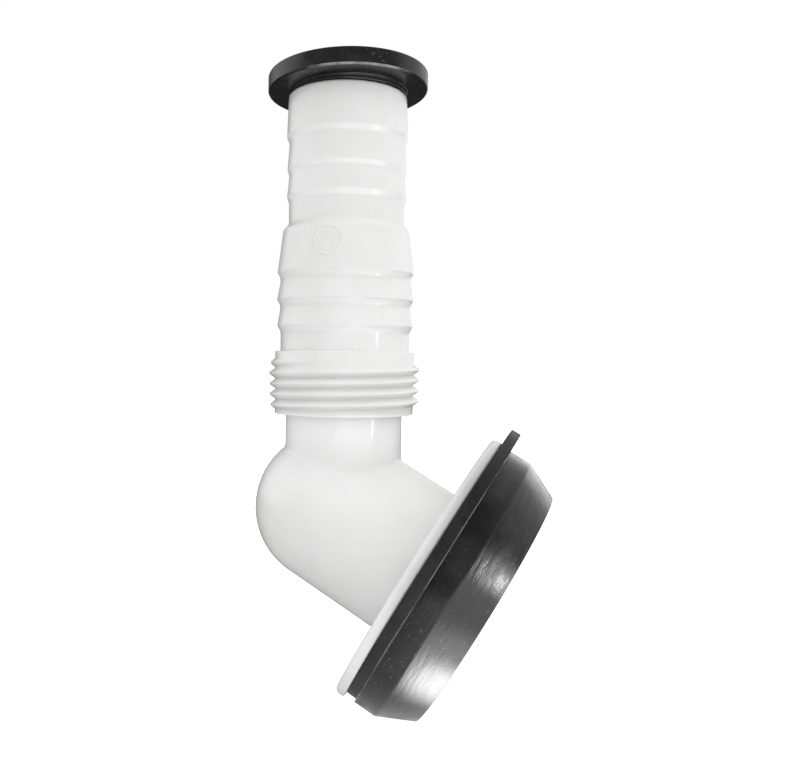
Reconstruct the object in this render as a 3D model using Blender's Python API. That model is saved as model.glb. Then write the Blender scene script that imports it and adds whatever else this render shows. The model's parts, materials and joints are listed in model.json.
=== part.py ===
"""Thru-hull fitting with a two-step barbed hose tail, a 120 degree ball elbow and a screw-in outboard head.

Pieces: elbow_hose_tail, flat_gasket, stem_o_ring, outboard_head, end_plug.
Lengths are in millimetres in the constants below and become metres in the meshes.

Two axes carry everything. The tube axis is +Z, and heights along it are counted from the top of the threaded
collar. The outlet axis leaves the tube axis at ELBOW_HEIGHT and falls OUTLET_FALL degrees below +X; distances
along it are counted from that crossing, growing towards the outboard side. World zero is the bottom centre
of the whole object's box.
"""

import math

import bmesh
import bpy
from mathutils import Matrix

MM = 0.001

# Facets
ROUND = 36
COLLAR_THREAD_STEPS = 24
STEM_THREAD_STEPS = 24
CORNER_STEPS = 2
BALL_STEPS = 6

# Gap between pieces that touch, depth that joined shapes share, and the turns over which a thread runs out
FACE_GAP = 0.1
BITE = 1.0
THREAD_FADE = 0.3

# Elbow layout
OUTLET_FALL = 30.0
ELBOW_HEIGHT = -36.1

# Hose tail, from the open end down
TAIL_TOP = 55.9
TAIL_TOP_RADIUS = 13.0
TAIL_EDGE = 0.8
BARB_STEP = 1.2
SMALL_TAIL_RADIUS = 12.7
SMALL_BARBS = ((46.9, 13.3), (39.8, 13.12), (33.8, 13.15))
SHOULDER_HEIGHT = 27.8
SHOULDER_DROP = 1.4
SHOULDER_RADIUS = 13.9
LARGE_TAIL_RADIUS = 14.25
LARGE_BARBS = ((17.2, 15.05), (11.3, 15.1), (5.6, 15.0))
BORE_RADIUS = 9.8
BORE_MOUTH_CHAMFER = 0.5

# Threaded collar, a one inch pipe thread, and the neck under it
COLLAR_LENGTH = 13.7
COLLAR_RADIUS = 15.4
NECK_RADIUS = 12.95
COLLAR_PITCH = 2.309
COLLAR_CREST_RADIUS = 16.6
COLLAR_TURNS = 4.5
COLLAR_THREAD_TOP = -2.0
COLLAR_THREAD_TOP_ANGLE = -73.0
COLLAR_ROOT_HALF_WIDTH = 0.95
COLLAR_CREST_HALF_WIDTH = 0.2

# Outlet arm and flange
BALL_RADIUS = 17.0
BALL_CENTRE = -3.0
FLANGE_RADIUS = 32.0
FLANGE_BACK = 19.7
FLANGE_FACE = 22.0
FLANGE_EDGE = 0.8
FLANGE_FILLET = 0.6

# Threaded socket in the outlet arm, a three-quarter inch pipe thread
SOCKET_RADIUS = 12.45
SOCKET_THREAD_START = 8.6
COUNTERBORE_RADIUS = 14.5
COUNTERBORE_FLOOR = 17.0
STEM_PITCH = 1.814
FLANK_SLOPE = math.tan(math.radians(27.5))
GROOVE_DEPTH = 1.0
GROOVE_TIP_HALF_WIDTH = 0.18
THREAD_OVERRUN = 0.6

# Gasket
GASKET_THICKNESS = 2.1
GASKET_RADIUS = 33.2
GASKET_HOLE_RADIUS = 16.0
GASKET_OFFSET = 2.6

# Outboard head and its hollow stem
HEAD_BACK = FLANGE_FACE + GASKET_THICKNESS + 2 * FACE_GAP
HEAD_BAND = 5.0
HEAD_LENGTH = 12.7
HEAD_BAND_RADIUS = 31.6
HEAD_END_RADIUS = 27.7
HEAD_CORNER = 0.8
HEAD_END_CORNER = 0.4
MOUTH_RADIUS = 23.5
MOUTH_DEPTH = 6.5
STEM_END = 8.8
STEM_CORE_RADIUS = 12.15
STEM_CREST_RADIUS = 13.15
STEM_CREST_HALF_WIDTH = 0.15
STEM_NOSE = 0.8
STEM_THREAD_START = 9.8
STEM_THREAD_END = 16.6
JOURNAL_START = 17.6
JOURNAL_RADIUS = 13.15
LUG_COUNT = 2
LUG_WIDTH = 4.0
LUG_HEIGHT = 2.2
LUG_START = 13.4
LUG_END = 26.4

# O-ring and its groove
RING_SECTION_RADIUS = 1.2
RING_CENTRE = 20.0
RING_STEPS = 8
RING_GROOVE_RADIUS = 11.7
RING_GROOVE_HALF_WIDTH = 1.4
RING_RADIUS = 13.0

# Rubber end plug
PLUG_SHOULDER_RADIUS = 12.9
PLUG_SHOULDER_HEIGHT = 0.8
PLUG_DISC_RADIUS = 17.5
PLUG_DISC_HEIGHT = 3.7
PLUG_DISC_EDGE = 0.7
PLUG_STEM_RADIUS = 9.5
PLUG_STEM_TIP_RADIUS = 9.1
PLUG_STEM_LENGTH = 12.0
PLUG_HOLLOW_RADIUS = 6.4
PLUG_HOLLOW_DEPTH = 10.0


def clear_scene():
    for obj in list(bpy.data.objects):
        bpy.data.objects.remove(obj, do_unlink=True)


def material(name, colour, roughness):
    made = bpy.data.materials.new(name)
    made.use_nodes = True
    shader = made.node_tree.nodes["Principled BSDF"]
    shader.inputs["Base Color"].default_value = (*colour, 1.0)
    shader.inputs["Roughness"].default_value = roughness
    shader.inputs["Metallic"].default_value = 0.0
    return made


def corner(radius, along, size, start, turn=90.0, steps=CORNER_STEPS):
    """Points of an arc about (radius, along), from start degrees and on by turn degrees."""
    angles = (math.radians(start + turn * i / steps) for i in range(steps + 1))
    return [(radius + size * math.cos(a), along + size * math.sin(a)) for a in angles]


def revolve(outline, segments=ROUND):
    """A solid turned about Z from a closed outline of (radius, along) points in millimetres."""
    mesh = bmesh.new()
    points = [mesh.verts.new((r * MM, 0, z * MM)) for r, z in outline]
    edges = [mesh.edges.new((a, b)) for a, b in zip(points, points[1:] + points[:1])]
    bmesh.ops.spin(
        mesh,
        geom=points + edges,
        cent=(0, 0, 0),
        axis=(0, 0, 1),
        angle=math.tau,
        steps=segments,
        use_merge=True,
    )
    bmesh.ops.remove_doubles(mesh, verts=mesh.verts, dist=1e-7)
    bmesh.ops.recalc_face_normals(mesh, faces=mesh.faces)
    return mesh


def helix_ridge(section, pitch, along, angle, turns, facets, sunk_radius=None, fade=0.0):
    """A ridge swept along a right-hand helix of so many facets a turn, rising from (along, angle) by turns.

    section lists (radius, offset along the axis). Over the first and last fade turns its points sink
    to sunk_radius, so that the ridge runs out instead of ending square.
    """
    mesh = bmesh.new()
    steps = round(turns * facets)
    rings = []
    for step in range(steps + 1):
        turned = turns * step / steps
        share = min(turned, turns - turned) / fade if fade else 1.0
        azimuth = math.radians(angle) + math.tau * turned
        ring = []
        for radius, offset in section:
            if sunk_radius is not None and radius > sunk_radius:
                radius = sunk_radius + (radius - sunk_radius) * min(1.0, share)
            place = (
                radius * math.cos(azimuth) * MM,
                radius * math.sin(azimuth) * MM,
                (along + pitch * turned + offset) * MM,
            )
            ring.append(mesh.verts.new(place))
        rings.append(ring)
    for low, high in zip(rings, rings[1:]):
        for i in range(len(section)):
            j = (i + 1) % len(section)
            mesh.faces.new((low[i], low[j], high[j], high[i]))
    mesh.faces.new(rings[0])
    mesh.faces.new(rings[-1])
    bmesh.ops.recalc_face_normals(mesh, faces=mesh.faces)
    return mesh


def place(name, mesh, parent, look=None):
    """Makes an object of a bmesh, in its parent's frame."""
    data = bpy.data.meshes.new(name)
    mesh.to_mesh(data)
    mesh.free()
    obj = bpy.data.objects.new(name, data)
    bpy.context.scene.collection.objects.link(obj)
    obj.parent = parent
    if look:
        data.materials.append(look)
        data.shade_smooth()
        data.set_sharp_from_angle(angle=math.radians(35))
    return obj


def combine(target, name, mesh, parent, operation):
    """Joins a helper solid to the target, or cuts it away, and hides the helper."""
    helper = place(name, mesh, parent)
    helper.hide_render = True
    helper.display_type = "WIRE"
    boolean = target.modifiers.new(name, "BOOLEAN")
    boolean.operation = operation
    boolean.solver = "EXACT"
    boolean.object = helper


def tail_outline():
    """Outside of the hose tail, collar and neck, from the top down."""
    outline = [(0, TAIL_TOP)]
    outline += corner(TAIL_TOP_RADIUS - TAIL_EDGE, TAIL_TOP - TAIL_EDGE, TAIL_EDGE, 90, -90)
    for height, crest in SMALL_BARBS:
        outline += [(crest, height), (SMALL_TAIL_RADIUS, height - BARB_STEP)]
    outline += [(SMALL_TAIL_RADIUS, SHOULDER_HEIGHT), (SHOULDER_RADIUS, SHOULDER_HEIGHT - SHOULDER_DROP)]
    for height, crest in LARGE_BARBS:
        outline += [(crest, height), (LARGE_TAIL_RADIUS, height - BARB_STEP)]
    outline += [(LARGE_TAIL_RADIUS, 0), (COLLAR_RADIUS, 0)]
    outline += [(COLLAR_RADIUS, -COLLAR_LENGTH), (NECK_RADIUS, -COLLAR_LENGTH)]
    outline += [(NECK_RADIUS, ELBOW_HEIGHT), (0, ELBOW_HEIGHT)]
    return outline


def arm_outline():
    """Outside of the ball-ended arm and its flange, along the outlet axis."""
    outline = corner(0, BALL_CENTRE, BALL_RADIUS, -90, 90, BALL_STEPS)
    outline[0] = (0, BALL_CENTRE - BALL_RADIUS)
    fillet = FLANGE_FILLET
    outline += corner(BALL_RADIUS + fillet, FLANGE_BACK - fillet, fillet, 180, -90)
    edge = FLANGE_EDGE
    outline += corner(FLANGE_RADIUS - edge, FLANGE_BACK + edge, edge, -90, 90)
    outline += corner(FLANGE_RADIUS - edge, FLANGE_FACE - edge, edge, 0, 90)
    outline += [(0, FLANGE_FACE)]
    return outline


def cavity_outline():
    """Inside of the arm: rounded blind end, thread core and the O-ring's counterbore."""
    outline = corner(0, BALL_CENTRE, SOCKET_RADIUS, -90, 90, BALL_STEPS)
    outline[0] = (0, BALL_CENTRE - SOCKET_RADIUS)
    outline += [(SOCKET_RADIUS, COUNTERBORE_FLOOR), (COUNTERBORE_RADIUS, COUNTERBORE_FLOOR)]
    outline += [(COUNTERBORE_RADIUS, FLANGE_FACE + BITE), (0, FLANGE_FACE + BITE)]
    return outline


def bore_outline():
    """The tail's bore, from inside the ball to past the open end."""
    chamfer = BORE_MOUTH_CHAMFER
    return [
        (0, ELBOW_HEIGHT + 2 * BITE),
        (BORE_RADIUS, ELBOW_HEIGHT + 2 * BITE),
        (BORE_RADIUS, TAIL_TOP - chamfer),
        (BORE_RADIUS + chamfer + BITE, TAIL_TOP + BITE),
        (0, TAIL_TOP + BITE),
    ]


def collar_thread():
    sunk = COLLAR_RADIUS - BITE
    root = COLLAR_ROOT_HALF_WIDTH
    crest = COLLAR_CREST_HALF_WIDTH
    section = [
        (sunk, -root),
        (COLLAR_RADIUS, -root),
        (COLLAR_CREST_RADIUS, -crest),
        (COLLAR_CREST_RADIUS, crest),
        (COLLAR_RADIUS, root),
        (sunk, root),
    ]
    bottom = COLLAR_THREAD_TOP - COLLAR_TURNS * COLLAR_PITCH
    angle = COLLAR_THREAD_TOP_ANGLE - 360 * COLLAR_TURNS
    return helix_ridge(
        section, COLLAR_PITCH, bottom, angle, COLLAR_TURNS, COLLAR_THREAD_STEPS, sunk + BITE / 2, THREAD_FADE
    )


def socket_thread():
    """Cutter for the socket's grooves. It starts on the same helix as the stem's ridge."""
    tip = SOCKET_RADIUS + GROOVE_DEPTH
    mouth = GROOVE_TIP_HALF_WIDTH + GROOVE_DEPTH * FLANK_SLOPE
    section = [
        (SOCKET_RADIUS - BITE, -mouth),
        (SOCKET_RADIUS, -mouth),
        (tip, -GROOVE_TIP_HALF_WIDTH),
        (tip, GROOVE_TIP_HALF_WIDTH),
        (SOCKET_RADIUS, mouth),
        (SOCKET_RADIUS - BITE, mouth),
    ]
    length = COUNTERBORE_FLOOR + THREAD_OVERRUN - SOCKET_THREAD_START
    return helix_ridge(section, STEM_PITCH, SOCKET_THREAD_START, 0, length / STEM_PITCH, STEM_THREAD_STEPS)


def stem_thread():
    sunk = STEM_CORE_RADIUS - BITE
    root = STEM_CREST_HALF_WIDTH + (STEM_CREST_RADIUS - STEM_CORE_RADIUS) * FLANK_SLOPE
    section = [
        (sunk, -root),
        (STEM_CORE_RADIUS, -root),
        (STEM_CREST_RADIUS, -STEM_CREST_HALF_WIDTH),
        (STEM_CREST_RADIUS, STEM_CREST_HALF_WIDTH),
        (STEM_CORE_RADIUS, root),
        (sunk, root),
    ]
    angle = 360 * (STEM_THREAD_START - SOCKET_THREAD_START) / STEM_PITCH
    turns = (STEM_THREAD_END - STEM_THREAD_START) / STEM_PITCH
    return helix_ridge(
        section, STEM_PITCH, STEM_THREAD_START, angle, turns, STEM_THREAD_STEPS, sunk + BITE / 2, THREAD_FADE
    )


def head_outline():
    """Outboard head and hollow stem, along the outlet axis, from the stem's nose round and back."""
    groove = RING_GROOVE_HALF_WIDTH
    end = HEAD_BACK + HEAD_LENGTH
    outline = [
        (BORE_RADIUS, STEM_END),
        (STEM_CORE_RADIUS - STEM_NOSE, STEM_END),
        (STEM_CORE_RADIUS, STEM_END + STEM_NOSE),
        (STEM_CORE_RADIUS, JOURNAL_START),
        (JOURNAL_RADIUS, JOURNAL_START),
        (JOURNAL_RADIUS, RING_CENTRE - groove),
        (RING_GROOVE_RADIUS, RING_CENTRE - groove),
        (RING_GROOVE_RADIUS, RING_CENTRE + groove),
        (JOURNAL_RADIUS, RING_CENTRE + groove),
        (JOURNAL_RADIUS, HEAD_BACK),
    ]
    outline += corner(HEAD_BAND_RADIUS - HEAD_END_CORNER, HEAD_BACK + HEAD_END_CORNER, HEAD_END_CORNER, -90, 90)
    cone_lean = math.degrees(math.atan2(HEAD_BAND_RADIUS - HEAD_END_RADIUS, HEAD_LENGTH - HEAD_BAND))
    outline += corner(HEAD_BAND_RADIUS - HEAD_CORNER, HEAD_BACK + HEAD_BAND, HEAD_CORNER, 0, cone_lean)
    outline += corner(
        HEAD_END_RADIUS - HEAD_END_CORNER, end - HEAD_END_CORNER, HEAD_END_CORNER, cone_lean, 90 - cone_lean
    )
    outline += [(MOUTH_RADIUS, end), (BORE_RADIUS, end - MOUTH_DEPTH)]
    return outline


def wrench_lug(index):
    """A block on the waterway's wall that a flat bar turns the head by."""
    mesh = bmesh.new()
    bmesh.ops.create_cube(mesh, size=1.0)
    size = Matrix.Diagonal(((LUG_HEIGHT + BITE) * MM, LUG_WIDTH * MM, (LUG_END - LUG_START) * MM, 1.0))
    middle = BORE_RADIUS + (BITE - LUG_HEIGHT) / 2
    shift = Matrix.Translation((middle * MM, 0, (LUG_START + LUG_END) / 2 * MM))
    spin = Matrix.Rotation(math.tau * (index + 0.5) / LUG_COUNT, 4, "Z")
    bmesh.ops.transform(mesh, matrix=spin @ shift @ size, verts=mesh.verts)
    return mesh


def gasket_outline():
    low = FLANGE_FACE + FACE_GAP
    high = low + GASKET_THICKNESS
    return [
        (GASKET_HOLE_RADIUS, low),
        (GASKET_RADIUS, low),
        (GASKET_RADIUS, high),
        (GASKET_HOLE_RADIUS, high),
    ]


def ring_outline():
    points = corner(RING_RADIUS, RING_CENTRE, RING_SECTION_RADIUS, 0, 360, RING_STEPS)
    return points[:-1]


def plug_outline():
    """Rubber plug: hollow stem, shoulder and disc, from the hollow round the outside to the top centre."""
    seat = TAIL_TOP + FACE_GAP
    disc = seat + PLUG_SHOULDER_HEIGHT
    top = disc + PLUG_DISC_HEIGHT
    tip = seat - PLUG_STEM_LENGTH
    edge = PLUG_DISC_EDGE
    outline = [
        (0, tip + PLUG_HOLLOW_DEPTH),
        (PLUG_HOLLOW_RADIUS, tip + PLUG_HOLLOW_DEPTH),
        (PLUG_HOLLOW_RADIUS, tip),
        (PLUG_STEM_TIP_RADIUS, tip),
        (PLUG_STEM_RADIUS, tip + PLUG_STEM_LENGTH / 3),
        (PLUG_STEM_RADIUS, seat),
        (PLUG_SHOULDER_RADIUS, seat),
        (PLUG_SHOULDER_RADIUS, disc),
    ]
    outline += corner(PLUG_DISC_RADIUS - edge, disc + edge, edge, -90, 90)
    outline += corner(PLUG_DISC_RADIUS - edge, top - edge, edge, 0, 90)
    outline += [(0, top)]
    return outline


def outlet_reach(outline, across, down):
    """How far an outline turned about the outlet axis reaches along (across, down) in the XZ plane."""
    fall = math.radians(OUTLET_FALL)
    along_share = across * math.cos(fall) + down * math.sin(fall)
    round_share = math.hypot(across * math.sin(fall), down * math.cos(fall))
    return max(along * along_share + radius * round_share for radius, along in outline)


def outlet_axis_empty(tube):
    outlet = bpy.data.objects.new("outlet_axis", None)
    bpy.context.scene.collection.objects.link(outlet)
    outlet.parent = tube
    outlet.location = (0, 0, ELBOW_HEIGHT * MM)
    outlet.rotation_euler = (0, math.radians(90 + OUTLET_FALL), 0)
    return outlet


def tube_axis_empty():
    """The tube axis, placed so that the whole object's bottom centre is at world zero."""
    lowest = ELBOW_HEIGHT - outlet_reach(head_outline(), 0, 1)
    rightmost = outlet_reach(head_outline(), 1, 0)
    leftmost = BALL_CENTRE * math.cos(math.radians(OUTLET_FALL)) - BALL_RADIUS
    tube = bpy.data.objects.new("tube_axis", None)
    bpy.context.scene.collection.objects.link(tube)
    tube.location = (-(leftmost + rightmost) / 2 * MM, 0, -lowest * MM)
    return tube


def build_elbow(tube, outlet, look):
    elbow = place("elbow_hose_tail", revolve(tail_outline()), tube, look)
    combine(elbow, "arm_and_flange", revolve(arm_outline()), outlet, "UNION")
    combine(elbow, "collar_thread", collar_thread(), tube, "UNION")
    combine(elbow, "arm_cavity", revolve(cavity_outline()), outlet, "DIFFERENCE")
    combine(elbow, "tail_bore", revolve(bore_outline()), tube, "DIFFERENCE")
    combine(elbow, "socket_thread", socket_thread(), outlet, "DIFFERENCE")


def build_head(outlet, look):
    head = place("outboard_head", revolve(head_outline()), outlet, look)
    combine(head, "stem_thread", stem_thread(), outlet, "UNION")
    for index in range(LUG_COUNT):
        combine(head, f"wrench_lug_{index + 1}", wrench_lug(index), outlet, "UNION")


def build_gasket(outlet, look):
    gasket = place("flat_gasket", revolve(gasket_outline()), outlet, look)
    gasket.location = (-GASKET_OFFSET * MM, 0, 0)


def main():
    clear_scene()
    white = material("white_plastic", (0.80, 0.80, 0.79), 0.35)
    black = material("black_plastic", (0.035, 0.036, 0.036), 0.38)
    rubber = material("black_rubber", (0.030, 0.031, 0.031), 0.45)
    tube = tube_axis_empty()
    outlet = outlet_axis_empty(tube)
    build_elbow(tube, outlet, white)
    build_gasket(outlet, rubber)
    place("stem_o_ring", revolve(ring_outline()), outlet, rubber)
    build_head(outlet, black)
    place("end_plug", revolve(plug_outline()), tube, rubber)


main()
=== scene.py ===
"""Finished look of the thru-hull fitting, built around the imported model.

Every piece is a fine mesh that stands for its CAD node. Lengths are in millimetres in the constants below,
and in metres in the meshes, the materials and the studio.

Two frames carry the shapes: the tube frame (+Z up the hose tail, zero at the top of the threaded collar)
and the outlet frame (+Z out of the hull, zero where the outlet axis crosses the tube axis). Both, and the
places that set the sizes along them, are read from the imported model.
"""

import json
import math

import bmesh
import bpy
from mathutils import Matrix, Vector


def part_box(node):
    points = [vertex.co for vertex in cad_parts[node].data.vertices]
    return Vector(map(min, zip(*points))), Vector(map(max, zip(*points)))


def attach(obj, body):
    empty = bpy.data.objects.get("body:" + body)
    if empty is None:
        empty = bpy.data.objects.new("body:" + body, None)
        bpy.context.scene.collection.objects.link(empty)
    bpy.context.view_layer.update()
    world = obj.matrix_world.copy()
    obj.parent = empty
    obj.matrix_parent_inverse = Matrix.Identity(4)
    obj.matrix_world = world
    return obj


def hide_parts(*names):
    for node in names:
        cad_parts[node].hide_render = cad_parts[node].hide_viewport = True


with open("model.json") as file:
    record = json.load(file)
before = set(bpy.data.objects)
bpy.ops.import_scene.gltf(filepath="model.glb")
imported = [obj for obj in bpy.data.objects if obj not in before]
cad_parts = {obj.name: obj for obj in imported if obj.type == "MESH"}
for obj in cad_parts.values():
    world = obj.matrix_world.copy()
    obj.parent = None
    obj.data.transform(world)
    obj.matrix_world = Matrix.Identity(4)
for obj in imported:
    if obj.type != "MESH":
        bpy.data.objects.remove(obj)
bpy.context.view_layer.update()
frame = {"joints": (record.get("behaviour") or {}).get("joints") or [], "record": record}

MM = 0.001

# Facets
TURN_STEPS = 192
RIB_STEPS = 192
ARC_STEP_DEGREES = 9
BLEND_STEPS = 10
BLEND_SEARCH_STEPS = 40
MARK_STEPS = 64
MARK_BEAD_STEPS = 8
SHARP_DEGREES = 40

# Hose tail: heights of the barbs' crests above the collar, and their radii
TAIL_TOP_RADIUS = 13.0
SMALL_TAIL_RADIUS = 12.7
SMALL_BARBS = ((46.9, 13.3), (39.8, 13.12), (33.8, 13.15))
SHOULDER_HEIGHT = 27.8
SHOULDER_RADIUS = 13.9
LARGE_TAIL_RADIUS = 14.25
LARGE_BARBS = ((17.2, 15.05), (11.3, 15.1), (5.6, 15.0))
BARB_STEP = 1.2
SHOULDER_DROP = 1.4
SMALL_BARB_CORNER = 0.12
LARGE_BARB_CORNER = 0.14
BARB_ROOT = 2.5
BORE_RADIUS = 9.8
BORE_CHAMFER = 0.6

# Ring mark on the large step: its height and radius, and the bead along it, half sunk in the surface
MARK_HEIGHT = 22.9
MARK_RADIUS = 3.0
MARK_BEAD_RADIUS = 0.34
MARK_RISE = 0.15
MARK_LIFT = 0.01

# Collar and neck
COLLAR_LENGTH = 13.7
COLLAR_RADIUS = 15.4
NECK_RADIUS = 12.95
NECK_BLEND = 1.6
NECK_BLEND_BITE = 0.015

# Collar thread
COLLAR_PITCH = 2.309
COLLAR_TURNS = 4.5
COLLAR_THREAD_TOP = -2.0
COLLAR_THREAD_TOP_ANGLE = -73.0
COLLAR_CREST_RADIUS = 16.6
COLLAR_ROOT_HALF = 1.02
COLLAR_CREST_HALF = 0.3

# Both threads' ridges: turns over which they run out, how far they reach into the wall, and how far they sink
RIB_FADE = 0.35
RIB_BITE = 0.8
RIB_SINK = 0.12

# Outlet arm, flange and socket. The socket's thread starts at a distance from the flange's back face
BALL_RADIUS = 17.0
BALL_CENTRE = -3.0
FLANGE_RADIUS = 32.0
FLANGE_THICKNESS = 2.3
SOCKET_RADIUS = 12.45
SOCKET_LEAD = 0.5
SOCKET_THREAD_START = -11.1
GROOVE_RADIUS = 13.45
GROOVE_TIP_HALF = 0.18
GROOVE_FLANK_DEGREES = 27.5
GROOVE_KINK_GAP = 0.08
GROOVE_OVERRUN = 0.6
COUNTERBORE_RADIUS = 14.5
COUNTERBORE_DEPTH = 5.0
COUNTERBORE_CHAMFER = 0.4

# Gaps between the gasket or plug and what it sits against
SEAT_GAP = 0.1
GASKET_HEAD_GAP = 0.02

# Head and seals. Places along the stem are counted from the head's back face
GASKET_RADIUS = 33.2
GASKET_HOLE_RADIUS = 16.0
HEAD_LENGTH = 12.7
HEAD_BAND = 5.0
HEAD_BAND_RADIUS = 31.6
HEAD_END_RADIUS = 27.7
MOUTH_RADIUS = 23.5
MOUTH_DEPTH = 6.5
STEM_LENGTH = 15.5
STEM_NOSE = 0.8
STEM_CORE_RADIUS = 12.15
STEM_CREST_RADIUS = 13.15
STEM_ROOT_HALF = 0.66
STEM_CREST_HALF = 0.15
STEM_PITCH = 1.814
STEM_THREAD_START = -14.5
STEM_THREAD_TURNS = 3.75
STEM_THREAD_END = -6.7
RING_GROOVE_RADIUS = 11.7
RING_GROOVE_LOW = -5.7
RING_GROOVE_HIGH = -2.9
RING_SECTION_RADIUS = 1.2
RING_RADIUS = 13.0
LUG_SIZE = (3.2, 4.0, 13.0)
LUG_MIDDLE = -4.4
LUG_CORNER = 0.5

# Plug
PLUG_STEM_RADIUS = 9.5
PLUG_TIP_RADIUS = 9.1
PLUG_HOLLOW_RADIUS = 6.4
PLUG_HOLLOW_DEPTH = 10.0
PLUG_TAPER_LENGTH = 4.0
PLUG_SHOULDER_RADIUS = 12.9
PLUG_SHOULDER_HEIGHT = 0.8
PLUG_DISC_RADIUS = 17.5
PLUG_TILT_YAW = 14.6
PLUG_TILT_SIDE = 1.84
PLUG_TILT_BACK = 1.52

# Streaks round the head: how fast their noise runs around it, and outwards on its faces
STREAK_ROUND = 0.003
STREAK_OUT = 0.8

# Camera: it looks at the object's -Y side, a little from the outlet's end. Its shifts are shares of the width
CAMERA_PLACE = (35.49, -178.60, 76.49)
CAMERA_YAW = 14.60
CAMERA_PITCH = -2.13
CAMERA_ROLL = 0.82
CAMERA_LENS = 37.86
CAMERA_SHIFT = (0.0522, 0.0098)

# Studio light. Directions point from the object. A range holds the levels at its far and near ends
KEY_DIRECTION = (0.62, -0.64, 0.45)
KEY_RANGE = (0.33, 1.32)
WALL_DIRECTION = (0.97, 0.25, 0)
SIDE_DIRECTION = (-0.95, -0.05, 0.31)
ROOM_LEVEL = 0.15
SIDE_LEVEL = 1.2
FLOOR_RANGE = (0.30, 1.7)
GLINT_PLACE = (16.9, -30, 0)
GLINT_REACH = (2.5, 14)
GLINT_SHEEN = 15.0
HALO_PLACE = (30, -44, 0)
HALO_REACH = (4, 28)
HALO_SHEEN = 3.0


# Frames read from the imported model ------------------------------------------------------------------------


def joint_named(name):
    return next(joint for joint in frame["joints"] if joint["name"] == name)


def mount_named(name):
    return next(mount for mount in frame["record"]["mounts"] if mount["name"] == name)


def tube_frame():
    """At the top of the collar, on the plug's axis."""
    low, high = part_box("end_plug")
    middle = (low + high) / 2
    return Matrix.Translation((middle.x, middle.y, mount_named("collar_top_face")["pos_m"][2]))


def outlet_frame():
    """At the head's hinge, with +Z along the hinge's axis."""
    joint = joint_named("head_turn")
    fall = math.asin(-joint["axis"][2])
    return Matrix.Translation(joint["pos_m"]) @ Matrix.Rotation(math.pi / 2 + fall, 4, "Y")


def outlet_distance(mount):
    """How far along the outlet axis a mount's face lies, in millimetres."""
    joint = joint_named("head_turn")
    reach = Vector(mount_named(mount)["pos_m"]) - Vector(joint["pos_m"])
    return reach.dot(Vector(joint["axis"])) / MM


TUBE = tube_frame()
OUTLET = outlet_frame()
OUTLET_IN_TUBE = TUBE.inverted() @ OUTLET
TAIL_TOP = (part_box("elbow_hose_tail")[1].z - TUBE.translation.z) / MM
PLUG_TOP = (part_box("end_plug")[1].z - TUBE.translation.z) / MM
PLUG_TIP = (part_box("end_plug")[0].z - TUBE.translation.z) / MM
PLUG_SEAT = TAIL_TOP + SEAT_GAP
PLUG_DISC_LOW = PLUG_SEAT + PLUG_SHOULDER_HEIGHT
FLANGE_BACK = outlet_distance("flange_inboard_face")
FLANGE_FACE = FLANGE_BACK + FLANGE_THICKNESS
HEAD_END = outlet_distance("head_end_face")
HEAD_BACK = HEAD_END - HEAD_LENGTH
CROSSING = OUTLET_IN_TUBE.translation.z / MM


# Mesh tools -----------------------------------------------------------------------------------------------


def rounded(corners):
    """An outline with its corners rounded. corners lists (radius, along, rounding)."""
    outline = []
    for i, (r, z, size) in enumerate(corners):
        here = Vector((r, z))
        before = Vector(corners[i - 1][:2]) - here
        after = Vector(corners[(i + 1) % len(corners)][:2]) - here
        if size <= 0:
            outline.append((r, z))
            continue
        half = before.angle(after) / 2
        reach = size / math.tan(half)
        before.normalize()
        after.normalize()
        centre = here + (before + after).normalized() * (size / math.sin(half))
        start = here + before * reach - centre
        end = here + after * reach - centre
        sweep = start.angle_signed(end)
        steps = max(2, round(abs(math.degrees(sweep)) / ARC_STEP_DEGREES))
        for step in range(steps + 1):
            point = centre + Matrix.Rotation(-sweep * step / steps, 2) @ start
            outline.append((point.x, point.y))
    return outline


def arc(radius, along, size, start, turn):
    """Points round a centre at (radius, along), from start through turn, both in degrees."""
    steps = max(2, round(abs(turn) / (ARC_STEP_DEGREES / 3)))
    angles = (math.radians(start + turn * i / steps) for i in range(steps + 1))
    return [(radius + size * math.cos(a), along + size * math.sin(a)) for a in angles]


def revolve(outline):
    """A solid turned about Z from a closed outline of (radius, along) points."""
    mesh = bmesh.new()
    points = [mesh.verts.new((max(r, 0) * MM, 0, z * MM)) for r, z in outline]
    edges = [mesh.edges.new((a, b)) for a, b in zip(points, points[1:] + points[:1])]
    bmesh.ops.spin(
        mesh, geom=points + edges, cent=(0, 0, 0), axis=(0, 0, 1),
        angle=math.tau, steps=TURN_STEPS, use_merge=True,
    )
    bmesh.ops.remove_doubles(mesh, verts=mesh.verts, dist=1e-7)
    bmesh.ops.recalc_face_normals(mesh, faces=mesh.faces)
    return mesh


def loft(rings, closed_round):
    """A closed solid through rings of points in metres: a hoop, or a bar with capped ends."""
    mesh = bmesh.new()
    rows = [[mesh.verts.new(point) for point in ring] for ring in rings]
    pairs = list(zip(rows, rows[1:]))
    if closed_round:
        pairs.append((rows[-1], rows[0]))
    else:
        mesh.faces.new(rows[0])
        mesh.faces.new(rows[-1])
    for low, high in pairs:
        for i in range(len(low)):
            j = (i + 1) % len(low)
            mesh.faces.new((low[i], low[j], high[j], high[i]))
    bmesh.ops.recalc_face_normals(mesh, faces=mesh.faces)
    return mesh


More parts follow.
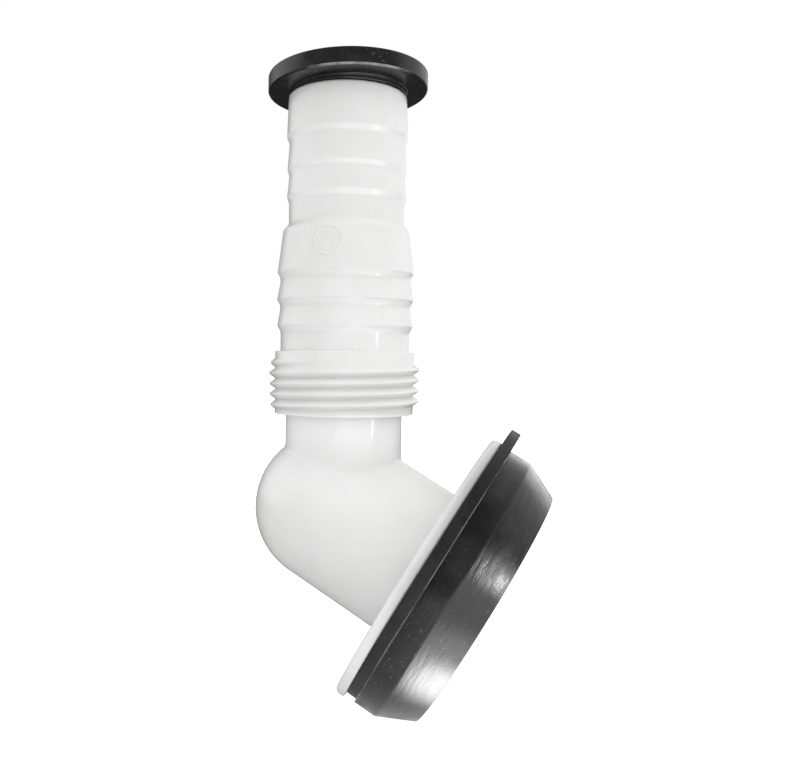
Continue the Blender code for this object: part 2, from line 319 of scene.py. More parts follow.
def rib(root_radius, crest_radius, root_half, crest_half, pitch, along, angle, turns):
    """A thread's ridge with a rounded crest and hollow feet, sinking into the root at both ends.

    It starts at the height along and the azimuth angle, in degrees, and climbs by pitch each turn.
    """
    sunk = root_radius - RIB_BITE
    low = root_radius - RIB_SINK
    flank = (root_half - crest_half) / (crest_radius - root_radius)
    # Radius and distance from the ridge's middle: sunken root, hollow foot, flank, crest
    side = [
        (sunk, -root_half - 0.09),
        (root_radius - 0.03, -root_half - 0.09),
        (root_radius + 0.05, -root_half + 0.03),
        (root_radius + 0.22, -root_half + 0.22 * flank),
        (crest_radius - 0.12, -crest_half),
        (crest_radius, -crest_half * 0.4),
    ]
    section = side + [(r, -z) for r, z in reversed(side)]
    steps = round(turns * RIB_STEPS)
    rings = []
    for step in range(steps + 1):
        turned = turns * step / steps
        share = min(1.0, min(turned, turns - turned) / RIB_FADE)
        share = share * share * (3 - 2 * share)
        azimuth = math.radians(angle) + math.tau * turned
        ring = []
        for radius, offset in section:
            if radius > low:
                radius = low + (radius - low) * share
            ring.append((
                radius * math.cos(azimuth) * MM,
                radius * math.sin(azimuth) * MM,
                (along + pitch * turned + offset) * MM,
            ))
        rings.append(ring)
    return loft(rings, closed_round=False)


def mesh_object(name, mesh, matrix=None):
    """Turns a bmesh into an object of the scene, moved by matrix."""
    data = bpy.data.meshes.new(name)
    if matrix is not None:
        mesh.transform(matrix)
    mesh.to_mesh(data)
    mesh.free()
    obj = bpy.data.objects.new(name, data)
    bpy.context.scene.collection.objects.link(obj)
    return obj


def combine(target, tool, operation):
    """Applies a Boolean between two solids and drops the tool."""
    modifier = target.modifiers.new("combine", "BOOLEAN")
    modifier.operation = operation
    modifier.solver = "MANIFOLD"
    modifier.object = tool
    graph = bpy.context.evaluated_depsgraph_get()
    result = bpy.data.meshes.new_from_object(target.evaluated_get(graph))
    target.modifiers.clear()
    old = target.data
    target.data = result
    bpy.data.meshes.remove(old)
    bpy.data.objects.remove(tool)


def finish_piece(obj, matrix, body, node, look):
    """Places a piece, gives it its material, and lets it ride for its CAD node.

    The vertices end up in world axes, and the attribute "place" keeps them in the piece's own frame.
    """
    place = obj.data.attributes.new("place", "FLOAT_VECTOR", "POINT")
    for item, vert in zip(place.data, obj.data.vertices):
        item.vector = vert.co
    obj.data.transform(matrix)
    obj.data.shade_smooth()
    obj.data.set_sharp_from_angle(angle=math.radians(SHARP_DEGREES))
    obj.data.materials.clear()
    obj.data.materials.append(look)
    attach(obj, body)
    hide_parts(node)
    return obj


# Elbow ----------------------------------------------------------------------------------------------------


def tail_outline():
    """Outside of the hose tail, collar and neck, from the top down."""
    corners = [(0, TAIL_TOP, 0), (TAIL_TOP_RADIUS, TAIL_TOP, 0.8)]
    for height, crest in SMALL_BARBS:
        corners += [(crest, height, SMALL_BARB_CORNER), (SMALL_TAIL_RADIUS, height - BARB_STEP, BARB_ROOT)]
    corners += [
        (SMALL_TAIL_RADIUS, SHOULDER_HEIGHT, SMALL_BARB_CORNER),
        (SHOULDER_RADIUS, SHOULDER_HEIGHT - SHOULDER_DROP, 0.7),
    ]
    for height, crest in LARGE_BARBS:
        corners += [(crest, height, LARGE_BARB_CORNER), (LARGE_TAIL_RADIUS, height - BARB_STEP, BARB_ROOT)]
    corners += [
        (LARGE_TAIL_RADIUS, 0, 0.25),
        (COLLAR_RADIUS, 0, 0.2),
        (COLLAR_RADIUS, -COLLAR_LENGTH, 0.2),
        (NECK_RADIUS, -COLLAR_LENGTH, 0.25),
        (NECK_RADIUS, CROSSING, 0),
        (0, CROSSING, 0),
    ]
    return rounded(corners)


def arm_outline():
    """Outside of the ball-ended arm and its flange."""
    ball = arc(0, BALL_CENTRE, BALL_RADIUS, -90, 90)
    ball[0] = (0, BALL_CENTRE - BALL_RADIUS)
    rest = rounded([
        (0, FLANGE_BACK - 1, 0),
        (BALL_RADIUS, FLANGE_BACK - 1, 0),
        (BALL_RADIUS, FLANGE_BACK, 0.9),
        (FLANGE_RADIUS, FLANGE_BACK, 1.0),
        (FLANGE_RADIUS, FLANGE_FACE, 0.5),
        (0, FLANGE_FACE, 0),
    ])
    return ball + rest[2:]


def cavity_outline():
    """The hollow inside the ball and arm, with the socket and its counterbore."""
    ball = arc(0, BALL_CENTRE, SOCKET_RADIUS, -90, 90)
    ball[0] = (0, BALL_CENTRE - SOCKET_RADIUS)
    floor = FLANGE_FACE - COUNTERBORE_DEPTH
    return ball + [
        (SOCKET_RADIUS, floor - SOCKET_LEAD),
        (SOCKET_RADIUS + SOCKET_LEAD, floor),
        (COUNTERBORE_RADIUS, floor),
        (COUNTERBORE_RADIUS, FLANGE_FACE - COUNTERBORE_CHAMFER),
        (COUNTERBORE_RADIUS + 2 * COUNTERBORE_CHAMFER, FLANGE_FACE + COUNTERBORE_CHAMFER),
        (0, FLANGE_FACE + COUNTERBORE_CHAMFER),
    ]


def bore_outline():
    """The waterway down the hose tail, a little wider at its mouth."""
    return [
        (0, CROSSING + 2),
        (BORE_RADIUS, CROSSING + 2),
        (BORE_RADIUS, TAIL_TOP - BORE_CHAMFER),
        (BORE_RADIUS + 2 * BORE_CHAMFER, TAIL_TOP + BORE_CHAMFER),
        (0, TAIL_TOP + BORE_CHAMFER),
    ]


def socket_groove():
    """The cutter for the female thread, wound from inside the arm up into the counterbore.

    Its kink lies in the hollow, just off the socket's wall, and its facets fall between the wall's. The cut
    then leaves no sliver faces.
    """
    kink = SOCKET_RADIUS - GROOVE_KINK_GAP
    mouth = GROOVE_TIP_HALF + (GROOVE_RADIUS - kink) * math.tan(math.radians(GROOVE_FLANK_DEGREES))
    half = [(SOCKET_RADIUS - GROOVE_OVERRUN, -mouth), (kink, -mouth), (GROOVE_RADIUS, -GROOVE_TIP_HALF)]
    section = half + [(radius, -offset) for radius, offset in reversed(half)]
    start = FLANGE_BACK + SOCKET_THREAD_START
    turns = (FLANGE_FACE - COUNTERBORE_DEPTH + GROOVE_OVERRUN - start) / STEM_PITCH
    rings = []
    for step in range(round(turns * RIB_STEPS) + 1):
        turned = step / RIB_STEPS
        azimuth = math.tau * turned + math.pi / RIB_STEPS
        out = Vector((math.cos(azimuth), math.sin(azimuth), 0))
        rings.append([
            (out * radius + Vector((0, 0, start + STEM_PITCH * turned + offset))) * MM
            for radius, offset in section
        ])
    return loft(rings, closed_round=False)


def arm_distance(point):
    """A tube-frame point's distance from the ball-ended arm's centre line, and the direction away from it."""
    local = OUTLET_IN_TUBE.inverted() @ (point * MM) / MM
    foot = Vector((0, 0, max(local.z, BALL_CENTRE)))
    away = local - foot
    return away.length, (OUTLET_IN_TUBE.to_3x3() @ away).normalized()


def neck_blend():
    """The hollow fillet that a ball of radius NECK_BLEND leaves where the neck meets the ball and arm."""
    rings = []
    for step in range(TURN_STEPS):
        azimuth = math.tau * step / TURN_STEPS
        out = Vector((math.cos(azimuth), math.sin(azimuth), 0))
        low, high = CROSSING, -COLLAR_LENGTH
        for _ in range(BLEND_SEARCH_STEPS):
            middle = (low + high) / 2
            centre = out * (NECK_RADIUS + NECK_BLEND) + Vector((0, 0, middle))
            if arm_distance(centre)[0] < BALL_RADIUS + NECK_BLEND:
                low = middle
            else:
                high = middle
        centre = out * (NECK_RADIUS + NECK_BLEND) + Vector((0, 0, high))
        away = arm_distance(centre)[1]
        opening = (-out).angle(-away)
        side = (-away - (-out) * math.cos(opening)) / math.sin(opening)
        ring = []
        for part in range(BLEND_STEPS + 1):
            turned = opening * part / BLEND_STEPS
            depth = NECK_BLEND + (NECK_BLEND_BITE if part in (0, BLEND_STEPS) else 0)
            direction = -out * math.cos(turned) + side * math.sin(turned)
            ring.append((centre + direction * depth) * MM)
        # The ring closes deep inside both walls
        deep = centre - (out + away).normalized() * (NECK_BLEND * 2.2)
        ring.append((deep + Vector((0, 0, -1))) * MM)
        rings.append(ring)
    return loft(rings, closed_round=True)


def ring_mark():
    """A plain raised ring on the large step's first taper, on the side the mould opened to."""
    top = SHOULDER_HEIGHT - SHOULDER_DROP
    bottom, bottom_radius = LARGE_BARBS[0]
    rings = []
    for step in range(MARK_STEPS):
        angle = math.tau * step / MARK_STEPS
        ring = []
        for part in range(MARK_BEAD_STEPS):
            turned = math.tau * part / MARK_BEAD_STEPS
            radius = MARK_RADIUS + MARK_BEAD_RADIUS * math.cos(turned)
            across = radius * math.cos(angle)
            height = MARK_HEIGHT + radius * math.sin(angle)
            share = (top - height) / (top - bottom)
            surface = SHOULDER_RADIUS + (bottom_radius - SHOULDER_RADIUS) * share
            depth = surface + MARK_LIFT + MARK_RISE * math.sin(turned)
            azimuth = across / surface - math.pi / 2
            ring.append(Vector((depth * math.cos(azimuth), depth * math.sin(azimuth), height)) * MM)
        rings.append(ring)
    return loft(rings, closed_round=True)


def build_elbow(look):
    elbow = mesh_object("elbow_hose_tail_moulding", revolve(tail_outline()))
    combine(elbow, mesh_object("arm", revolve(arm_outline()), OUTLET_IN_TUBE), "UNION")
    combine(elbow, mesh_object("neck_blend", neck_blend()), "UNION")
    start = COLLAR_THREAD_TOP - COLLAR_TURNS * COLLAR_PITCH
    angle = COLLAR_THREAD_TOP_ANGLE - 360 * COLLAR_TURNS
    ridge = rib(
        COLLAR_RADIUS, COLLAR_CREST_RADIUS, COLLAR_ROOT_HALF, COLLAR_CREST_HALF,
        COLLAR_PITCH, start, angle, COLLAR_TURNS,
    )
    combine(elbow, mesh_object("thread", ridge), "UNION")
    combine(elbow, mesh_object("ring_mark", ring_mark()), "UNION")
    combine(elbow, mesh_object("cavity", revolve(cavity_outline()), OUTLET_IN_TUBE), "DIFFERENCE")
    combine(elbow, mesh_object("groove", socket_groove(), OUTLET_IN_TUBE), "DIFFERENCE")
    combine(elbow, mesh_object("bore", revolve(bore_outline())), "DIFFERENCE")
    return finish_piece(elbow, TUBE, "elbow", "elbow_hose_tail", look)


# Seals and head -------------------------------------------------------------------------------------------


def build_gasket(look):
    low = FLANGE_FACE + SEAT_GAP
    high = HEAD_BACK - GASKET_HEAD_GAP
    outline = rounded([
        (GASKET_HOLE_RADIUS, low, 0.1),
        (GASKET_RADIUS, low, 0.18),
        (GASKET_RADIUS, high, 0.05),
        (GASKET_HOLE_RADIUS, high, 0.1),
    ])
    gasket = mesh_object("flat_gasket_ring", revolve(outline))
    low_corner, high_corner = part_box("flat_gasket")
    centre = OUTLET.inverted() @ ((low_corner + high_corner) / 2)
    place = OUTLET @ Matrix.Translation((centre.x, 0, 0))
    return finish_piece(gasket, place, "clamp_seals", "flat_gasket", look)


def build_ring(look):
    low_corner, high_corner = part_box("stem_o_ring")
    centre = (OUTLET.inverted() @ ((low_corner + high_corner) / 2)).z / MM
    outline = arc(RING_RADIUS, centre, RING_SECTION_RADIUS, 0, 360)[:-1]
    ring = mesh_object("stem_o_ring_seal", revolve(outline))
    return finish_piece(ring, OUTLET, "clamp_seals", "stem_o_ring", look)


def head_outline():
    """The stem with its nose and ring groove, then the band, the cone and the funnelled mouth."""
    stem_end = HEAD_BACK - STEM_LENGTH
    thread_end = HEAD_BACK + STEM_THREAD_END
    groove_low = HEAD_BACK + RING_GROOVE_LOW
    groove_high = HEAD_BACK + RING_GROOVE_HIGH
    return rounded([
        (BORE_RADIUS, stem_end, 0.3),
        (STEM_CORE_RADIUS - STEM_NOSE, stem_end, 0.1),
        (STEM_CORE_RADIUS, stem_end + STEM_NOSE, 0.1),
        (STEM_CORE_RADIUS, thread_end, 0.1),
        (STEM_CREST_RADIUS, thread_end, 0.1),
        (STEM_CREST_RADIUS, groove_low, 0.1),
        (RING_GROOVE_RADIUS, groove_low, 0.15),
        (RING_GROOVE_RADIUS, groove_high, 0.15),
        (STEM_CREST_RADIUS, groove_high, 0.1),
        (STEM_CREST_RADIUS, HEAD_BACK, 0.3),
        (HEAD_BAND_RADIUS, HEAD_BACK, 0.12),
        (HEAD_BAND_RADIUS - 0.05, HEAD_BACK + HEAD_BAND, 1.2),
        (HEAD_END_RADIUS, HEAD_END, 0.2),
        (MOUTH_RADIUS, HEAD_END, 0.5),
        (BORE_RADIUS, HEAD_END - MOUTH_DEPTH, 1.5),
    ])


def wrench_lug(side):
    """A rounded block on the waterway's wall that a flat bar turns the head by."""
    mesh = bmesh.new()
    bmesh.ops.create_cube(mesh, size=1.0)
    size = Matrix.Diagonal(Vector(LUG_SIZE) * MM).to_4x4()
    shift = Matrix.Translation(Vector((BORE_RADIUS - 0.6, 0, HEAD_BACK + LUG_MIDDLE)) * MM)
    spin = Matrix.Rotation(side * math.pi / 2, 4, "Z")
    bmesh.ops.transform(mesh, matrix=spin @ shift @ size, verts=mesh.verts)
    bmesh.ops.bevel(
        mesh, geom=list(mesh.edges), offset=LUG_CORNER * MM, segments=3, profile=0.5, affect="EDGES"
    )
    return mesh


def build_head(look):
    head = mesh_object("outboard_head_moulding", revolve(head_outline()))
    start = HEAD_BACK + STEM_THREAD_START
    angle = 360 * (start - FLANGE_BACK - SOCKET_THREAD_START) / STEM_PITCH
    ridge = rib(
        STEM_CORE_RADIUS, STEM_CREST_RADIUS, STEM_ROOT_HALF, STEM_CREST_HALF,
        STEM_PITCH, start, angle, STEM_THREAD_TURNS,
    )
    combine(head, mesh_object("thread", ridge), "UNION")
    for side in (1, -1):
        combine(head, mesh_object("lug", wrench_lug(side)), "UNION")
    return finish_piece(head, OUTLET, "head", "outboard_head", look)


# Plug -----------------------------------------------------------------------------------------------------


def plug_outline():
    """The hollow, slightly tapered stem, the shoulder that sits on the tail's end, and the disc."""
    hollow_end = PLUG_TIP + PLUG_HOLLOW_DEPTH
    return rounded([
        (0, hollow_end, 0),
        (PLUG_HOLLOW_RADIUS, hollow_end, 1.0),
        (PLUG_HOLLOW_RADIUS, PLUG_TIP, 0.4),
        (PLUG_TIP_RADIUS, PLUG_TIP, 0.5),
        (PLUG_STEM_RADIUS, PLUG_TIP + PLUG_TAPER_LENGTH, 0),
        (PLUG_STEM_RADIUS, PLUG_SEAT, 0.2),
        (PLUG_SHOULDER_RADIUS, PLUG_SEAT, 0.25),
        (PLUG_SHOULDER_RADIUS, PLUG_DISC_LOW, 0.35),
        (PLUG_DISC_RADIUS, PLUG_DISC_LOW, 0.4),
        (PLUG_DISC_RADIUS, PLUG_TOP, 0.6),
        (0, PLUG_TOP, 0),
    ])


def plug_rises():
    """How steeply the plug's disc rises along X and along Y."""
    yaw = math.radians(PLUG_TILT_YAW)
    side = math.tan(math.radians(PLUG_TILT_SIDE))
    back = math.tan(math.radians(PLUG_TILT_BACK))
    return side * math.cos(yaw) + back * math.sin(yaw), side * math.sin(yaw) - back * math.cos(yaw)


def build_plug(look):
    """The plug's disc sits a little askew on its shoulder, as pressed-in rubber does."""
    mesh = revolve(plug_outline())
    along_x, along_y = plug_rises()
    for vert in mesh.verts:
        share = min(1.0, max(0.0, (vert.co.z / MM - PLUG_SEAT) / PLUG_SHOULDER_HEIGHT))
        vert.co.z += (along_x * vert.co.x + along_y * vert.co.y) * share
    plug = mesh_object("end_plug_rubber", mesh)
    return finish_piece(plug, TUBE, "plug", "end_plug", look)


# Materials ------------------------------------------------------------------------------------------------


class Nodes:
    """A short way to write the node tree of a world or a material."""

    def __init__(self, owner):
        owner.use_nodes = True
        self.tree = owner.node_tree

    def add(self, kind, inputs=None, **settings):
        node = self.tree.nodes.new(kind)
        for key, value in settings.items():
            setattr(node, key, value)
        for key, value in (inputs or {}).items():
            self.set(node.inputs[key], value)
        return node

    def set(self, socket, value):
        if isinstance(value, bpy.types.NodeSocket):
            self.tree.links.new(value, socket)
        else:
            socket.default_value = value

    def math(self, operation, *values):
        node = self.add("ShaderNodeMath", operation=operation)
        for socket, value in zip(node.inputs, values):
            self.set(socket, value)
        return node.outputs[0]

    def product(self, first, *others):
        for other in others:
            first = self.math("MULTIPLY", first, other)
        return first

    def total(self, first, *others):
        for other in others:
            first = self.math("ADD", first, other)
        return first

    def vector_value(self, operation, *vectors):
        """A number worked out from one or two vectors."""
        node = self.add("ShaderNodeVectorMath", dict(enumerate(vectors)), operation=operation)
        return node.outputs["Value"]

    def parts(self, vector):
        """The X, Y and Z of a vector."""
        return self.add("ShaderNodeSeparateXYZ", {"Vector": vector}).outputs

    def noise(self, vector, scale, detail=3.0, roughness=0.5):
        inputs = {"Vector": vector, "Scale": scale, "Detail": detail, "Roughness": roughness}
        return self.add("ShaderNodeTexNoise", inputs).outputs["Fac"]

    def ramp(self, value, low, high, out_low=0.0, out_high=1.0):
        """A smooth change from out_low to out_high as value goes from low to high."""
        inputs = {"Value": value, "From Min": low, "From Max": high, "To Min": out_low, "To Max": out_high}
        return self.add("ShaderNodeMapRange", inputs, interpolation_type="SMOOTHSTEP").outputs["Result"]

    def towards(self, way, direction, *limits):
        """A ramp over how nearly a way points in a direction."""
        return self.ramp(self.vector_value("DOT_PRODUCT", way, Vector(direction).normalized()), *limits)

    def mix(self, share, first, second):
        """A colour between first and second. A plain value counts as a grey."""
        node = self.add("ShaderNodeMix", data_type="RGBA")
        self.set(node.inputs["Factor"], share)
        self.set(node.inputs["A"], first)
        self.set(node.inputs["B"], second)
        return node.outputs["Result"]


class Surface(Nodes):
    """The nodes of a material with one shader."""

    def __init__(self, name):
        self.material = bpy.data.materials.new(name)
        super().__init__(self.material)
        self.shader = self.tree.nodes["Principled BSDF"]

    def coordinates(self):
        """The place on the piece, in the piece's own frame."""
        return self.add("ShaderNodeAttribute", attribute_name="place").outputs["Vector"]

    def bump(self, height, strength, distance, normal=None):
        inputs = {"Height": height, "Strength": strength, "Distance": distance}
        if normal is not None:
            inputs["Normal"] = normal
        return self.add("ShaderNodeBump", inputs).outputs["Normal"]

    def finish(self, **values):
        for name, value in values.items():
            self.set(self.shader.inputs[name.replace("_", " ")], value)
        return self.material

    def round_streaks(self, scale):
        """Noise drawn out around Z, as a turned or wiped finish leaves it."""
        x, y, z = self.parts(self.coordinates())
        radius = self.math("SQRT", self.total(self.product(x, x), self.product(y, y)))
        radius = self.math("MAXIMUM", radius, 1e-5)
        place = self.add("ShaderNodeCombineXYZ", {
            "X": self.product(self.math("DIVIDE", x, radius), STREAK_ROUND),
            "Y": self.product(self.math("DIVIDE", y, radius), STREAK_ROUND),
            "Z": self.total(z, self.product(radius, STREAK_OUT)),
        })
        return self.noise(place.outputs[0], scale, 4.0, 0.6)


def grey(value, warm=0.0):
    """A grey colour, or a slightly warm one."""
    return (value + warm, value, value - warm, 1.0)


def flange_shares(nodes, place):
    """Whether a place is on the flange, and how far it lies below the outlet axis."""
    crossing = Vector((0, 0, CROSSING * MM))
    reach = nodes.add("ShaderNodeVectorMath", {0: place, 1: crossing}, operation="SUBTRACT").outputs["Vector"]
    outlet = OUTLET_IN_TUBE.to_3x3()
    out = nodes.vector_value("DOT_PRODUCT", reach, outlet.col[2])
    below = nodes.vector_value("DOT_PRODUCT", reach, outlet.col[0])
    return nodes.ramp(out, (FLANGE_BACK - 0.8) * MM, (FLANGE_BACK - 0.1) * MM), below


def painted_light_share(nodes, height, flange, below):
    """Painted light on the white plastic: how much paler the steps' undersides, the neck and the flange's
    lower part are painted, standing for the light that falls on them.
    """
    faces = nodes.add("ShaderNodeNewGeometry").outputs["True Normal"]
    down = nodes.ramp(nodes.parts(faces)["Z"], -0.10, -0.35)
    step = nodes.product(down, nodes.ramp(height, 0.0, 0.002, 0.0, 0.65))
    neck = nodes.product(
        nodes.ramp(height, -(COLLAR_LENGTH + 12) * MM, -(COLLAR_LENGTH + 1) * MM),
        nodes.ramp(height, -(COLLAR_LENGTH - 1) * MM, -COLLAR_LENGTH * MM),
        0.75,
    )
    rim = nodes.product(flange, nodes.ramp(below, -0.004, 0.014))
    return nodes.math("MAXIMUM", nodes.math("MAXIMUM", step, neck), rim)


def white_plastic():
    """Moulded white polypropylene: a soft gloss, a faint grain, cloudy colour, and painted shade in the
    corners.

    Painted light makes the steps' undersides, the neck and the flange's lower part palest and keeps the
    painted corner shade off them. Painted shade makes the flange's upper part a little greyer.
    """
    nodes = Surface("white_polypropylene")
    place = nodes.coordinates()
    height = nodes.parts(place)["Z"]
    cloud = nodes.noise(place, 55.0, 4.0)
    colour = nodes.mix(nodes.ramp(cloud, 0.3, 0.7), grey(0.80, 0.004), grey(0.86, 0.002))
    flange, below = flange_shares(nodes, place)
    # Painted shade: the flange's upper part is painted greyer, where less light falls on it.
    flange_top_shade = nodes.product(flange, nodes.ramp(below, -0.012, -0.028, 0.0, 0.6))
    colour = nodes.mix(flange_top_shade, colour, grey(0.62))
    # Painted light: the steps' undersides, the neck and the flange's lower part are painted paler.
    pale = painted_light_share(nodes, height, flange, below)
    # Painted shade: a darker, warm grey painted into the corners and creases, found by ambient occlusion.
    corner = nodes.add("ShaderNodeAmbientOcclusion", {"Distance": 0.0016}, samples=8, only_local=True)
    corner_shade = nodes.ramp(corner.outputs["AO"], 0.25, 0.8, 0.20, 0.0)
    corner_shade = nodes.product(corner_shade, nodes.math("SUBTRACT", 1.0, pale))
    colour = nodes.mix(corner_shade, colour, grey(0.42, 0.01))
    # The painted light is mixed in as near-white.
    colour = nodes.mix(pale, colour, grey(0.98))
    speck = nodes.ramp(nodes.noise(place, 900.0, 2.0), 0.76, 0.80, 0.0, 0.25)
    colour = nodes.mix(speck, colour, grey(0.45, 0.01))
    grain = nodes.noise(place, 3200.0, 2.0)
    smooth = nodes.noise(place, 240.0, 3.0)
    rough = nodes.total(nodes.ramp(smooth, 0.25, 0.75, 0.09, 0.15), nodes.product(grain, 0.03))
    waves = nodes.bump(smooth, 0.10, 0.0003)
    normal = nodes.bump(grain, 0.12, 0.00002, waves)
    return nodes.finish(
        Base_Color=colour, Roughness=rough, Normal=normal, IOR=1.49,
        Subsurface_Weight=0.12, Subsurface_Radius=(0.003, 0.0028, 0.0025), Subsurface_Scale=1.0,
    )


def dusted(nodes, place, colour, rough, amount):
    """A colour and roughness with pale dust specks on them, thicker in patches."""
    patch = nodes.ramp(nodes.noise(place, 45.0, 2.0), 0.38, 0.62)
    speck = nodes.ramp(nodes.noise(place, 1500.0, 2.0, 0.7), 0.64, 0.72)
    share = nodes.product(speck, patch, amount)
    dusty = nodes.mix(share, colour, grey(0.30, 0.004))
    return dusty, nodes.total(rough, nodes.product(share, 0.3))


def black_plastic():
    """The head: satin black with fine streaks around it, haze and dust, and painted highlights along its back
    edge and its band's edge.
    """
    nodes = Surface("black_turned_plastic")
    place = nodes.coordinates()
    height = nodes.parts(place)["Z"]
    fine = nodes.round_streaks(1400.0)
    broad = nodes.round_streaks(500.0)
    cloud = nodes.noise(place, 90.0, 4.0)
    colour = nodes.mix(nodes.ramp(cloud, 0.3, 0.7), grey(0.010), grey(0.017))
    colour = nodes.mix(nodes.ramp(fine, 0.62, 0.80, 0.0, 0.35), colour, grey(0.05))
    rough = nodes.total(nodes.ramp(broad, 0.3, 0.7, 0.20, 0.30), nodes.ramp(cloud, 0.3, 0.7, -0.04, 0.05))
    colour, rough = dusted(nodes, place, colour, rough, 0.5)
    # Painted highlight: a patchy pale line painted along the head's back edge, by the gasket.
    lip_highlight_noise = nodes.ramp(nodes.noise(place, 130.0, 3.0), 0.35, 0.65, 0.25, 0.8)
    lip_highlight = nodes.ramp(height, (HEAD_BACK + 0.1) * MM, (HEAD_BACK + 0.28) * MM, 1.0, 0.0)
    colour = nodes.mix(nodes.product(lip_highlight, lip_highlight_noise), colour, grey(0.60))
    band_end = HEAD_BACK + HEAD_BAND
    edge = nodes.math("ABSOLUTE", nodes.math("SUBTRACT", height, band_end * MM))
    # Painted highlight: pale streaks painted along the edge between the band and the cone.
    edge_highlight = nodes.product(
        nodes.ramp(edge, 0.0, 0.0009, 1.0, 0.0),
        nodes.ramp(fine, 0.54, 0.66),
        nodes.ramp(cloud, 0.50, 0.62),
    )
    colour = nodes.mix(edge_highlight, colour, grey(0.16))
    haze = nodes.ramp(nodes.noise(place, 240.0, 3.0), 0.35, 0.75)
    colour = nodes.mix(nodes.product(haze, 0.40), colour, grey(0.036))
    rough = nodes.total(rough, nodes.product(haze, 0.08))
    streak_strength = nodes.ramp(height, (band_end - 1) * MM, (band_end + 1) * MM, 0.4, 1.0)
    streaks = nodes.bump(fine, streak_strength, 0.00012)
    grain = nodes.noise(place, 2500.0, 3.0, 0.6)
    normal = nodes.bump(grain, 0.20, 0.00002, streaks)
    return nodes.finish(Base_Color=colour, Roughness=rough, Normal=normal, IOR=1.5)


def black_rubber(name, low_rough, high_rough, grain_strength, dust):
    """The nodes of moulded or cut black rubber, with a fine mottled grain."""
    nodes = Surface(name)
    place = nodes.coordinates()
    mottle = nodes.noise(place, 420.0, 5.0, 0.65)
    colour = nodes.mix(nodes.ramp(mottle, 0.3, 0.7), grey(0.009), grey(0.018))
    rough = nodes.ramp(mottle, 0.3, 0.7, low_rough, high_rough)
    colour, rough = dusted(nodes, place, colour, rough, dust)
    grain = nodes.noise(place, 3000.0, 3.0, 0.6)
    waves = nodes.bump(mottle, 0.10, 0.0001)
    normal = nodes.bump(grain, grain_strength, 0.00002, waves)
    nodes.finish(Base_Color=colour, Roughness=rough, Normal=normal, IOR=1.52)
    return nodes


def plug_rubber():
    """The plug's rubber, with a painted highlight along the front of its disc's lower edge."""
    nodes = black_rubber("plug_rubber", 0.22, 0.36, 0.15, 0.3)
    place = nodes.coordinates()
    x, y, z = nodes.parts(place)
    rise_x, rise_y = plug_rises()
    rise = nodes.total(nodes.product(x, rise_x), nodes.product(y, rise_y))
    level = nodes.math("SUBTRACT", nodes.math("SUBTRACT", z, rise), PLUG_DISC_LOW * MM)
    edge = nodes.ramp(nodes.math("ABSOLUTE", level), 0.0003, 0.0005, 1.0, 0.0)
    flat = nodes.add("ShaderNodeCombineXYZ", {"X": x, "Y": y}).outputs[0]
    radius = nodes.vector_value("LENGTH", flat)
    rim = nodes.ramp(radius, (PLUG_DISC_RADIUS - 0.45) * MM, (PLUG_DISC_RADIUS - 0.15) * MM)
    front = nodes.ramp(nodes.vector_value("DOT_PRODUCT", place, Vector((0.42, -0.91, 0))), 0.0130, 0.0165)
    front_highlight_noise = nodes.ramp(nodes.noise(place, 350.0, 3.0), 0.35, 0.6, 0.45, 1.0)
    # Painted highlight: the front of the disc's lower edge is painted pale grey, in patches.
    share = nodes.product(edge, rim, front, front_highlight_noise)
    base = nodes.shader.inputs["Base Color"].links[0].from_socket
    return nodes.finish(Base_Color=nodes.mix(share, base, grey(0.32)))


# Studio ---------------------------------------------------------------------------------------------------


def studio_floor():
    """A pale floor that the lens sees as burnt-out white.

    Reflections see it dim, brighter to the right and in front, with a lit patch and its halo by the head.
    """
    mesh = bmesh.new()
    bmesh.ops.create_grid(mesh, x_segments=1, y_segments=1, size=3.0)
    floor = mesh_object("studio_floor", mesh, Matrix.Translation((0, 0, -0.0005)))
    nodes = Surface("pale_floor")
    path = nodes.add("ShaderNodeLightPath")
    place = nodes.add("ShaderNodeNewGeometry").outputs["Position"]
    split = nodes.parts(place)
    right = nodes.ramp(split["X"], -0.030, 0.040, *FLOOR_RANGE)
    front = nodes.ramp(split["Y"], -0.02, 0.08, 1.0, 0.04)
    sheen = nodes.product(right, front)
    for middle, reach, level in (
        (GLINT_PLACE, GLINT_REACH, GLINT_SHEEN),
        (HALO_PLACE, HALO_REACH, HALO_SHEEN),
    ):
        away = nodes.vector_value("DISTANCE", place, Vector(middle) * MM)
        sheen = nodes.total(sheen, nodes.ramp(away, reach[0] * MM, reach[1] * MM, level, 0.0))
    glow = nodes.product(path.outputs["Is Glossy Ray"], sheen)
    looks = nodes.finish(
        Base_Color=nodes.mix(path.outputs["Is Glossy Ray"], grey(0.78), grey(0.02)),
        Roughness=0.9,
        Emission_Color=grey(1.0),
        Emission_Strength=nodes.total(path.outputs["Is Camera Ray"], glow),
    )
    floor.data.materials.append(looks)


def reflected_panel(name, piece, target, azimuth, elevation, distance, size, radiance, lean=0):
    """A panel that shows only in one piece's reflections.

    The angles, in degrees, and distance, in metres, say where it is from target, which is in millimetres.
    size is its width and height in metres, and lean turns it in its own plane, in degrees.
    """
    data = bpy.data.lights.new(name, "AREA")
    data.shape = "RECTANGLE"
    data.size, data.size_y = size
    data.energy = radiance * math.pi * size[0] * size[1]
    lamp = bpy.data.objects.new(name, data)
    bpy.context.scene.collection.objects.link(lamp)
    turn = math.radians(azimuth)
    rise = math.radians(elevation)
    direction = Vector((math.cos(rise) * math.cos(turn), math.cos(rise) * math.sin(turn), math.sin(rise)))
    facing = direction.to_track_quat("Z", "Y").to_matrix() @ Matrix.Rotation(math.radians(lean), 3, "Z")
    lamp.matrix_world = Matrix.Translation(Vector(target) * MM + direction * distance) @ facing.to_4x4()
    lamp.visible_camera = False
    lamp.visible_diffuse = False
    lit = bpy.data.collections.new(name + "_lights")
    lit.objects.link(piece)
    lamp.light_linking.receiver_collection = lit


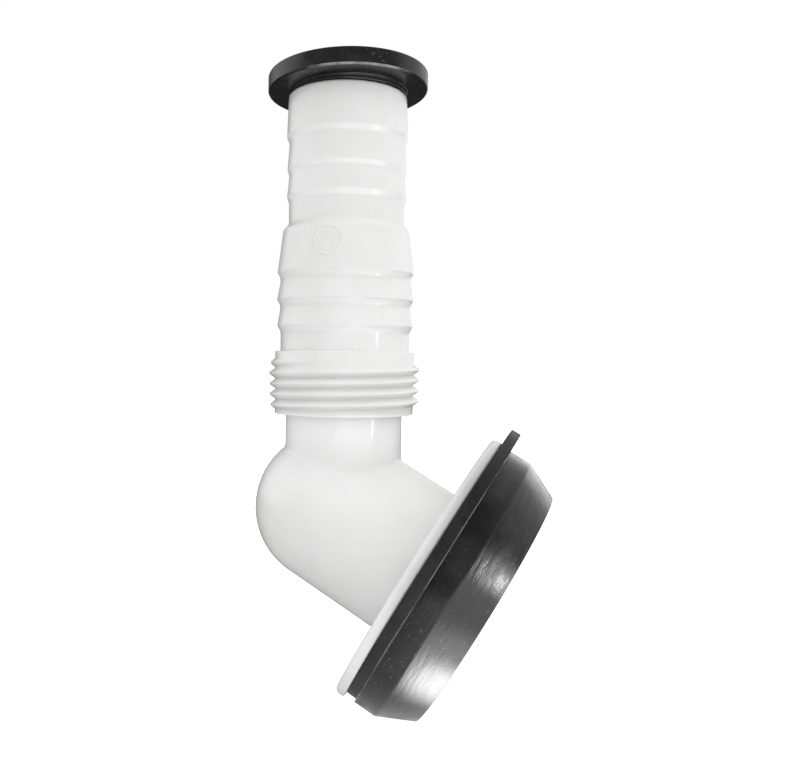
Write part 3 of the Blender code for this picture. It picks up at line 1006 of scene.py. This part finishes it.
def studio_world():
    """White to the lens. It lights softly from the front right, and reflects as a dim, pale-walled room."""
    world = bpy.data.worlds.new("studio")
    bpy.context.scene.world = world
    nodes = Nodes(world)
    way = nodes.add("ShaderNodeTexCoord").outputs["Generated"]
    path = nodes.add("ShaderNodeLightPath").outputs
    light = nodes.towards(way, KEY_DIRECTION, -1.0, 1.0, *KEY_RANGE)
    wall = nodes.product(
        nodes.towards(way, WALL_DIRECTION, 0.0, 0.35),
        nodes.towards(way, (0, 1, 0), -0.1, 0.2),
        nodes.towards(way, (0, 1, 0), 0.3, 1.0, 0.65, 0.8),
        nodes.towards(way, (0, 0, 1), 0.3, 0.65, 1.0, 0.7),
    )
    room = nodes.total(wall, nodes.towards(way, SIDE_DIRECTION, 0.75, 0.97, ROOM_LEVEL, SIDE_LEVEL))
    seen = nodes.mix(path["Is Glossy Ray"], light, room)
    seen = nodes.mix(path["Is Camera Ray"], seen, grey(1.0))
    nodes.set(nodes.tree.nodes["Background"].inputs["Color"], seen)


def camera():
    data = bpy.data.cameras.new("camera")
    data.sensor_width = 36.0
    data.lens = CAMERA_LENS
    data.shift_x, data.shift_y = CAMERA_SHIFT
    data.clip_start = 0.01
    obj = bpy.data.objects.new("camera", data)
    bpy.context.scene.collection.objects.link(obj)
    turn = Matrix.Rotation(math.radians(CAMERA_YAW), 4, "Z")
    turn = turn @ Matrix.Rotation(math.radians(90 + CAMERA_PITCH), 4, "X")
    turn = turn @ Matrix.Rotation(math.radians(CAMERA_ROLL), 4, "Z")
    obj.matrix_world = Matrix.Translation(Vector(CAMERA_PLACE) * MM) @ turn
    bpy.context.scene.camera = obj


def studio(elbow, head):
    """Lights, floor, surroundings and camera. The panels show in the elbow's and the head's reflections."""
    bpy.context.scene.view_settings.view_transform = "Standard"
    reflected_panel(
        "window", elbow, target=(-4, -9, 64.5), azimuth=-17, elevation=1, distance=0.11,
        size=(0.0025, 0.039), radiance=24,
    )
    reflected_panel(
        "far_window", head, target=(30, 0, 40), azimuth=75, elevation=11, distance=0.3,
        size=(0.24, 0.12), radiance=0.9,
    )
    reflected_panel(
        "lamp", head, target=(24, -25, 37), azimuth=-19.5, elevation=-3.5, distance=0.05,
        size=(0.006, 0.014), radiance=46, lean=-42,
    )
    studio_floor()
    studio_world()
    camera()


def main():
    elbow = build_elbow(white_plastic())
    build_gasket(black_rubber("gasket_rubber", 0.42, 0.58, 0.25, 0.2).material)
    build_ring(black_rubber("ring_rubber", 0.35, 0.5, 0.15, 0.2).material)
    head = build_head(black_plastic())
    build_plug(plug_rubber())
    studio(elbow, head)


main()
